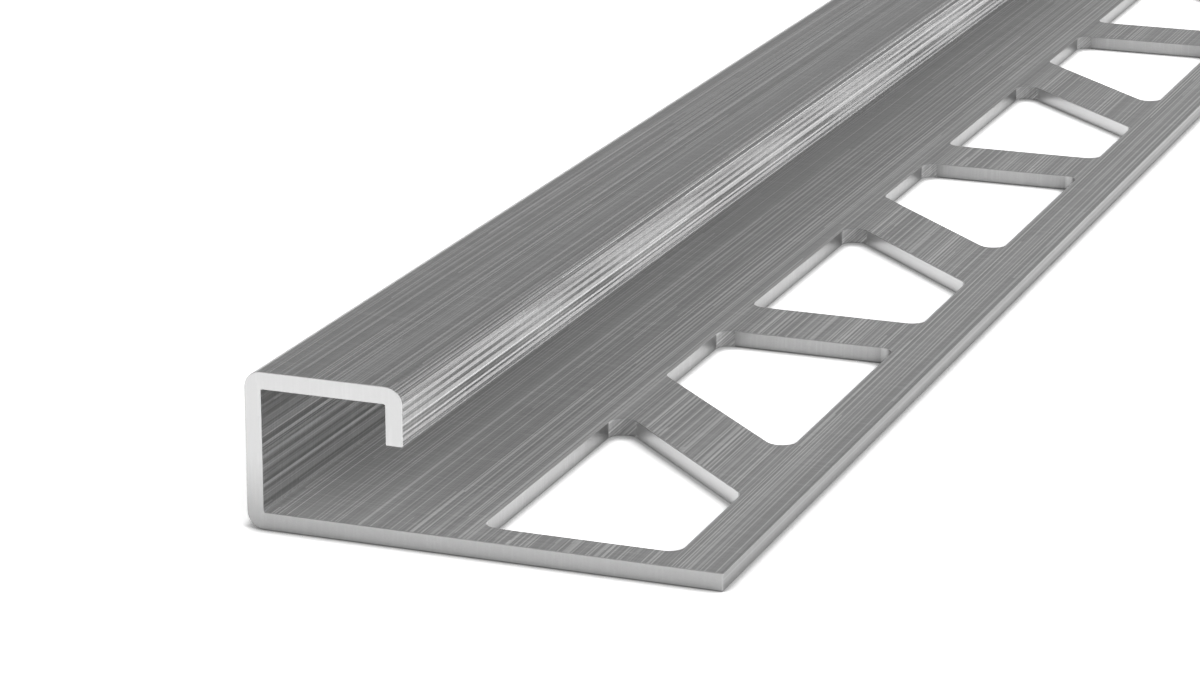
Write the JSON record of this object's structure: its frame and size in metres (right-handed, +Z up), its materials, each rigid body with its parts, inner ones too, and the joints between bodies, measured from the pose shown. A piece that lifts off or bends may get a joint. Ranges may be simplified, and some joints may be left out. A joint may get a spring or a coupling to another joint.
{
  "type": "square edge profile",
  "caption": "Folded brushed stainless strip: a hollow square nose over a flat anchoring leg punched with slanted slots, edging a tiled surface.",
  "frame": {"origin": "on the floor under the leg, in the middle of the strip's length and width", "axes": "+Y along the strip, +X from the visible front face towards the leg's free edge, +Z up"},
  "size_m": [0.0274, 1, 0.009],
  "materials": {
    "stainless": "brushed lengthwise"
  },
  "bodies": {
    "root": {"square_edge_profile": "stainless"}
  },
  "joints": []
}
